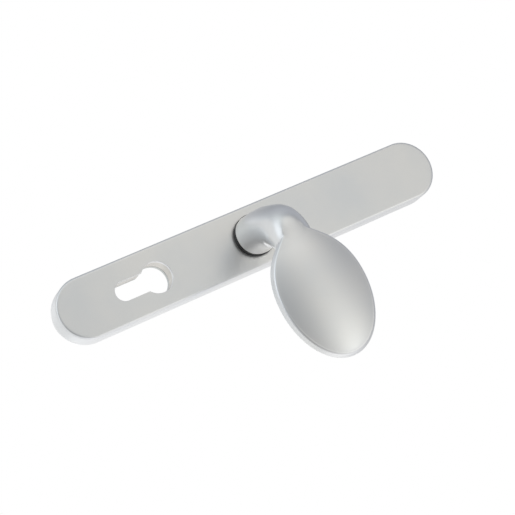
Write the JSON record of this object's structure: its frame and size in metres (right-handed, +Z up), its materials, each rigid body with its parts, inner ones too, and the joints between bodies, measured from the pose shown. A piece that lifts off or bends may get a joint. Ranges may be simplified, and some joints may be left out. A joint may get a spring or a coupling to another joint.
{
  "type": "pad handle on euro profile backplate",
  "caption": "Outside door handle set: a long round-ended backplate with a euro-profile cylinder cut-out and a cranked oval pad handle turning in a black collar.",
  "frame": {"origin": "spindle axis at the door face", "axes": "+Z up along the plate, -Y out of the door towards the user, +X towards the pad"},
  "size_m": [0.1031, 0.1112, 0.243],
  "materials": {
    "satin_aluminium": "satin silver anodised",
    "black_acetal": "moulded black acetal",
    "zinc_steel": "bright zinc plate",
    "hardened_steel": "black oxide over hardened steel",
    "die_cast_zinc": "as die-cast zinc alloy",
    "spring_steel": "bright drawn spring steel"
  },
  "bodies": {
    "backplate": {"cover_plate": "satin_aluminium", "mounting_plate": "zinc_steel", "upper_fixing_post": "zinc_steel", "lower_fixing_post": "zinc_steel", "collar_bush": "black_acetal", "cylinder_guard": "hardened_steel", "spring_housing": "die_cast_zinc", "spring_housing_cover": "zinc_steel", "cover_screw_1": "zinc_steel", "cover_screw_2": "zinc_steel", "cover_screw_3": "zinc_steel", "cover_screw_4": "zinc_steel", "guard_screw_left": "zinc_steel", "guard_screw_right": "zinc_steel", "housing_screw_lower": "zinc_steel", "housing_screw_upper": "zinc_steel"},
    "handle": {"pad_handle": "satin_aluminium", "spindle": "zinc_steel", "spindle_grub_screw": "hardened_steel", "spring_driver": "zinc_steel", "return_spring": "spring_steel", "retaining_ring": "spring_steel", "thrust_washer": "black_acetal", "wave_washer": "spring_steel"}
  },
  "joints": [
    {"name": "handle_turn", "type": "hinge", "parent": "backplate", "child": "handle", "pos_m": [0, 0, 0], "axis": [0, 1, 0], "range_deg": [-40, 40], "stiffness_Nm_per_rad": 2, "springref_deg": -0.97, "deforming": ["return_spring"]}
  ]
}
